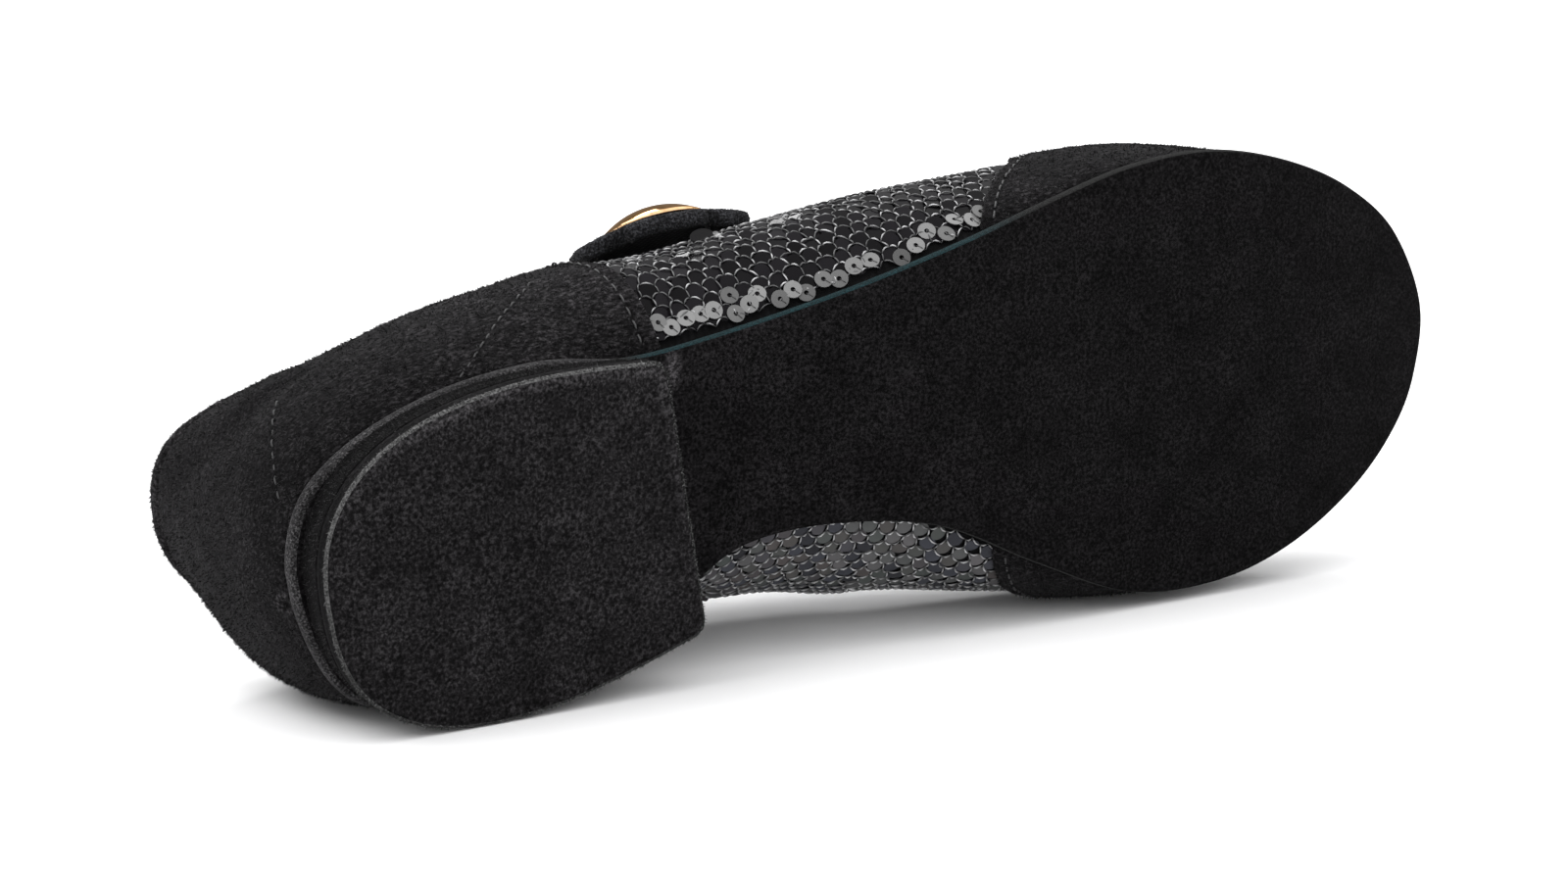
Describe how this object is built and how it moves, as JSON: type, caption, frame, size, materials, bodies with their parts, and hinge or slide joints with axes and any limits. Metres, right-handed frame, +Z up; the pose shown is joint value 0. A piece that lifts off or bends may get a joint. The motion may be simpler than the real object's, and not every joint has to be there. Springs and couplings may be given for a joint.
{
  "type": "dance shoe",
  "caption": "Right low-heeled dance shoe with a suede sole, sequin sides, suede toe cap and counter, and an instep strap with a domed button, lying on its inner side.",
  "frame": {"origin": "on the floor, under the middle of the bounding box of the shoe as it lies on its inner side", "axes": "+X from heel to toe, +Y from the sole to the collar, +Z up through the outer side"},
  "size_m": [0.2488, 0.0716, 0.0858],
  "materials": {
    "sole_suede": "black napped suede, matt",
    "heel_cover": "black suede cover, matt",
    "heel_suede": "dark grey napped suede with a paler cut edge",
    "lining": "soft dark lining cloth",
    "sequin_cloth": "dark cloth covered with overlapping sequins, glossy",
    "suede": "black suede with a short nap, matt",
    "button_gold": "polished gold-coloured metal"
  },
  "bodies": {
    "root": {"outsole": "sole_suede", "heel_block": "heel_cover", "heel_top_piece": "heel_suede", "insole": "lining", "upper": "sequin_cloth", "toe_cap": "suede", "heel_counter": "suede", "collar_binding": "suede", "strap": "suede", "strap_button": "button_gold"}
  },
  "joints": []
}
